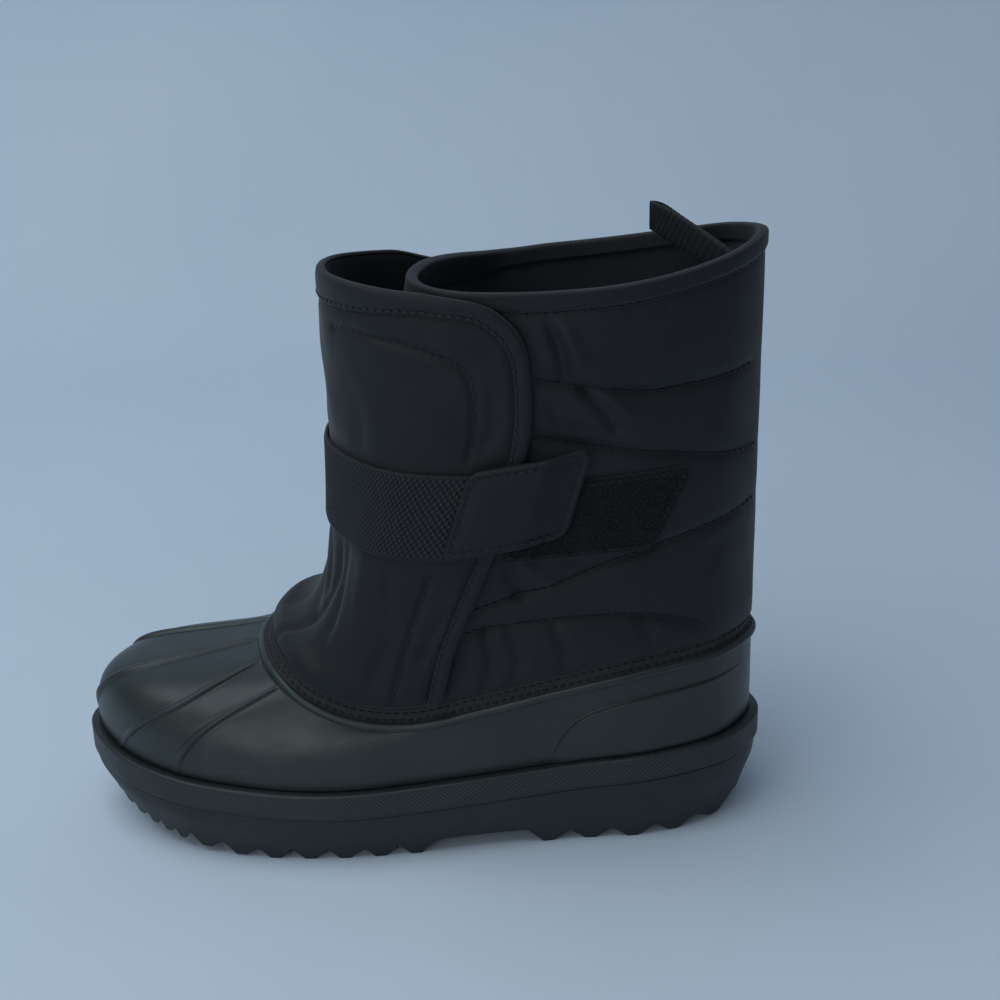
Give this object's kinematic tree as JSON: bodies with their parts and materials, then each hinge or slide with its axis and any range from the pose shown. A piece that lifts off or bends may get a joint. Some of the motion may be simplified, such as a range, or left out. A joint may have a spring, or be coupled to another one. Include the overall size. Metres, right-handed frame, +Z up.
{
  "type": "snow boot",
  "caption": "Left snow boot with a ribbed rubber lower, lugged sole, padded fabric shaft, wrapped front flap and ankle strap.",
  "frame": {"origin": "under the middle of the boot's bounding box, on the floor that the sole rests on", "axes": "+X from toe to heel, -Y to the lateral side with the strap tab, +Z up"},
  "size_m": [0.2556, 0.099, 0.2263],
  "materials": {
    "outsole": "satin",
    "midsole": "satin",
    "insole": "matte felt",
    "rubber_shell": "satin",
    "shaft": "matte woven nylon",
    "collar_binding": "ribbed tape",
    "front_flap": "matte woven nylon",
    "flap_binding": "ribbed tape",
    "elastic_strap": "woven elastic",
    "strap_tab": "coated cloth",
    "loop_patch": "fuzzy loop pile",
    "pull_loop": "ribbed webbing"
  },
  "bodies": {
    "root": {"outsole": "outsole", "midsole": "midsole", "insole": "insole", "rubber_shell": "rubber_shell", "shaft": "shaft", "collar_binding": "collar_binding", "front_flap": "front_flap", "flap_binding": "flap_binding", "elastic_strap": "elastic_strap", "strap_tab": "strap_tab", "loop_patch": "loop_patch", "pull_loop": "pull_loop"}
  },
  "joints": []
}
